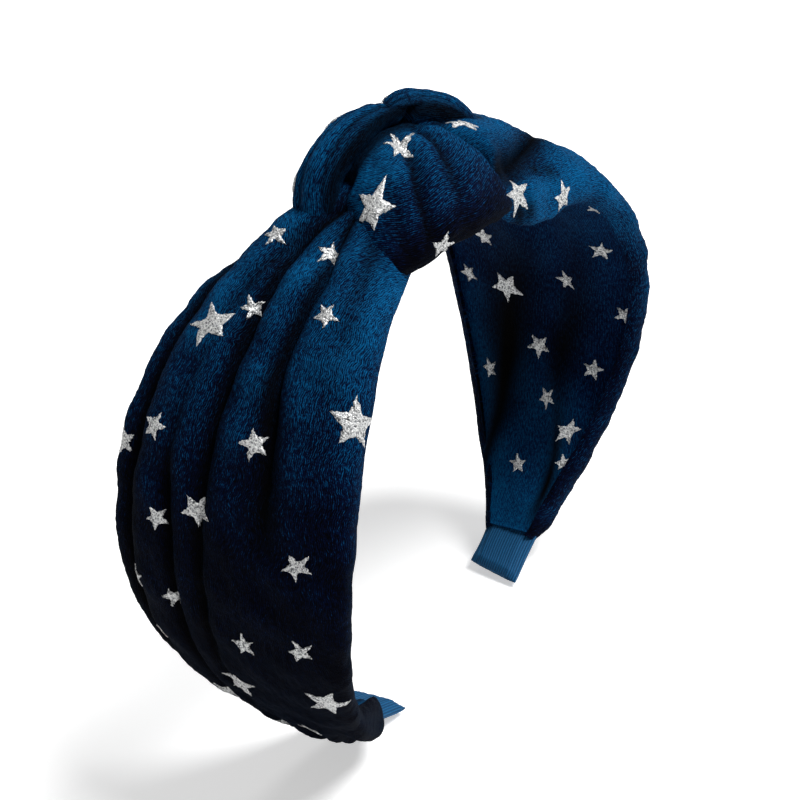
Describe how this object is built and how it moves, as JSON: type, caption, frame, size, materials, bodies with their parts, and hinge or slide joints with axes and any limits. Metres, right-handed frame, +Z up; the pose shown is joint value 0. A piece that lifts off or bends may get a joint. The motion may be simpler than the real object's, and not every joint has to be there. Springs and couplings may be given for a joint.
{
  "type": "knotted headband",
  "caption": "Wide velvet headband on a springy plastic hoop, with gathered padded wings, a turban knot on the crown and ribbed ribbon end sleeves.",
  "frame": {"origin": "middle of the flat underside of the knot, where the crown rests on the top of the head", "axes": "+X towards the wearer's left ear, -Y towards the face, +Z up through the crown"},
  "size_m": [0.1578, 0.061, 0.1477],
  "materials": {
    "velvet": "navy velvet pile with a blue-green sheen and printed silver glitter stars",
    "velvet_lining": "the same navy velvet with a flatter pile",
    "ribbon": "ribbed mid-blue ribbon, matt",
    "sponge": "pale open-cell sponge",
    "core_plastic": "moulded black plastic, satin",
    "thread": "navy sewing thread"
  },
  "bodies": {
    "crown": {"hoop_core_crown": "core_plastic", "crown_pad": "sponge", "knot_wrap": "velvet", "knot_roll": "velvet"},
    "right_leg": {"hoop_core_right": "core_plastic", "right_wing_pad": "sponge", "right_wing_cover": "velvet", "right_wing_lining": "velvet_lining", "right_gather_thread": "thread", "right_end_sleeve": "ribbon"},
    "left_leg": {"hoop_core_left": "core_plastic", "left_wing_pad": "sponge", "left_wing_cover": "velvet", "left_wing_lining": "velvet_lining", "left_gather_thread": "thread", "left_end_sleeve": "ribbon"}
  },
  "joints": [
    {"name": "right_leg_flex", "type": "hinge", "parent": "crown", "child": "right_leg", "pos_m": [-0.02412, 0, 0.00009], "axis": [0, 1, 0], "range_deg": [-4, 12], "stiffness_Nm_per_rad": 0.9},
    {"name": "left_leg_flex", "type": "hinge", "parent": "crown", "child": "left_leg", "pos_m": [0.02412, 0, 0.00009], "axis": [0, -1, 0], "range_deg": [-4, 12], "stiffness_Nm_per_rad": 0.9}
  ]
}
